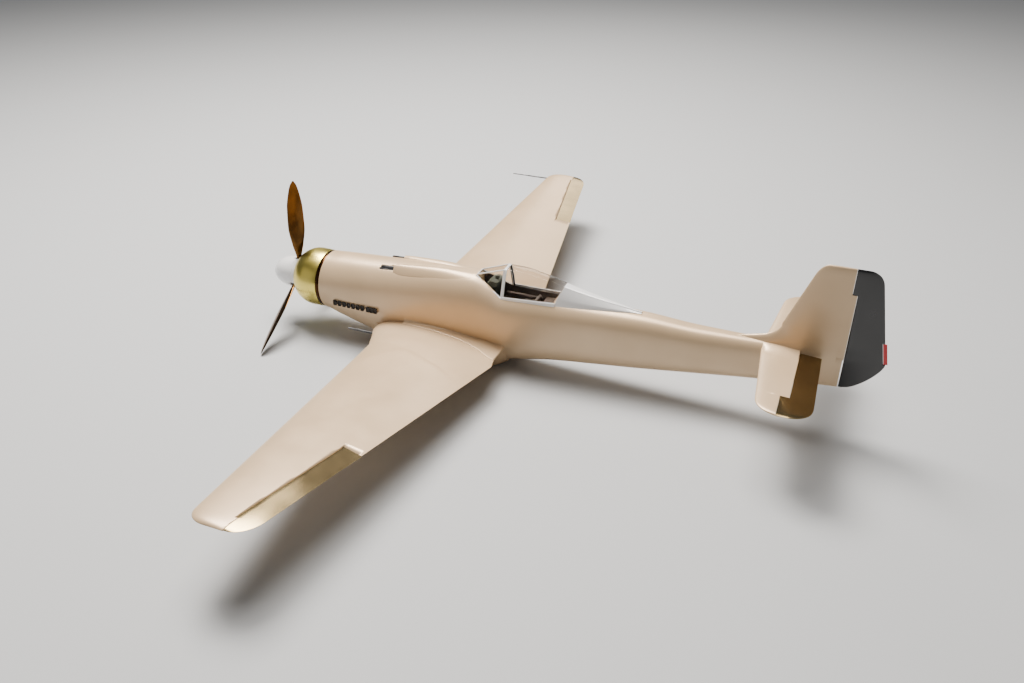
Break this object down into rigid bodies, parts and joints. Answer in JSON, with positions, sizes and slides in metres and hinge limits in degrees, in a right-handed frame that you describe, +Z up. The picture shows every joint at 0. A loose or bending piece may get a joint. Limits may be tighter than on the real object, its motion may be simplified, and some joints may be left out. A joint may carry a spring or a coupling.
{
  "type": "radio controlled warbird plane",
  "caption": "Radio controlled foam warbird with electric motor, three-bladed propeller, sliding canopy hood and moving control surfaces.",
  "frame": {"origin": "on the belly's flat underneath, in the middle of the length and of the span", "axes": "+Z up, +X aft (the nose points to -X), +Y towards the starboard wing tip"},
  "size_m": [1.1682, 1.4, 0.3],
  "materials": {
    "pearl_skin": "champagne pearl paint over foam",
    "gold": "polished gold paint",
    "copper": "polished copper paint",
    "white_pearl": "glossy pearl white",
    "charcoal": "semi-gloss charcoal",
    "red_tab": "red satin",
    "clear": "clear vacuum-formed plastic",
    "cockpit_dark": "matt dark brown",
    "panel_green": "matt grey green",
    "steel": "brushed",
    "gunmetal": "dark anodised",
    "soot": "sooty dark grey",
    "carbon": "carbon fibre",
    "plywood": "bare plywood",
    "nylon": "natural nylon",
    "servo_blue": "translucent blue",
    "battery_wrap": "blue shrink wrap",
    "black_plastic": "black"
  },
  "bodies": {
    "airframe": {"fuselage_left": "pearl_skin", "fuselage_right": "pearl_skin", "wing_centre": "pearl_skin", "wing_left": "pearl_skin", "wing_right": "pearl_skin", "fin": "pearl_skin", "stabilizer_left": "pearl_skin", "stabilizer_right": "pearl_skin", "gun_fairing_left": "pearl_skin", "gun_fairing_right": "pearl_skin", "cowl_ring": "gold", "cowl_band": "copper", "windscreen_frame": "white_pearl", "windscreen_glass": "clear", "cockpit_tub": "cockpit_dark", "seat": "cockpit_dark", "instrument_panel": "panel_green", "motor_stator": "steel", "pitot_tube": "steel", "motor_mount": "gunmetal", "cowl_gun_left": "gunmetal", "cowl_gun_right": "gunmetal", "root_gun_left": "gunmetal", "root_gun_right": "gunmetal", "exhaust_left": "soot", "exhaust_right": "soot", "wing_spar_left": "carbon", "wing_spar_right": "carbon", "firewall": "plywood", "battery_tray": "plywood", "servo_tray": "plywood", "wing_bolt_plate": "plywood", "wing_bolt_left": "nylon", "wing_bolt_right": "nylon", "aileron_servo_left": "servo_blue", "aileron_servo_right": "servo_blue", "elevator_servo": "servo_blue", "rudder_servo": "servo_blue", "battery": "battery_wrap", "speed_controller": "black_plastic", "receiver": "black_plastic"},
    "propeller": {"spinner": "white_pearl", "prop_hub": "black_plastic", "prop_blade_1": "copper", "prop_blade_2": "copper", "prop_blade_3": "copper", "prop_shaft": "steel", "motor_bell": "gunmetal"},
    "left_aileron": {"aileron_left": "gold"},
    "right_aileron": {"aileron_right": "gold"},
    "elevator": {"elevator_left": "gold", "elevator_right": "gold", "elevator_joiner": "steel"},
    "rudder_body": {"rudder": "charcoal", "rudder_tab": "red_tab"},
    "hood": {"canopy_glass": "clear", "canopy_frame": "white_pearl", "canopy_fairing": "white_pearl"}
  },
  "joints": [
    {"name": "prop_spin", "type": "hinge", "parent": "airframe", "child": "propeller", "pos_m": [-0.5266, 0, 0.102], "axis": [1, 0, 0], "continuous": true},
    {"name": "aileron_left_hinge", "type": "hinge", "parent": "airframe", "child": "left_aileron", "pos_m": [-0.1421, -0.4677, 0.0931], "axis": [0.159, 0.9818, -0.1039], "range_deg": [-25, 25]},
    {"name": "aileron_right_hinge", "type": "hinge", "parent": "airframe", "child": "right_aileron", "pos_m": [-0.1421, 0.4677, 0.0931], "axis": [-0.159, 0.9818, 0.1039], "range_deg": [-25, 25]},
    {"name": "elevator_hinge", "type": "hinge", "parent": "airframe", "child": "elevator", "pos_m": [0.4549, 0, 0.1376], "axis": [0, 1, 0], "range_deg": [-25, 25]},
    {"name": "rudder_hinge", "type": "hinge", "parent": "airframe", "child": "rudder_body", "pos_m": [0.5227, 0, 0.1376], "axis": [0, 0, 1], "range_deg": [-30, 30]},
    {"name": "canopy_slide", "type": "slide", "parent": "airframe", "child": "hood", "axis": [1, 0, 0], "range_m": [0, 0.06]}
  ],
  "couplings": [
    {"joint": "aileron_right_hinge", "follows": "aileron_left_hinge", "ratio": -1}
  ]
}
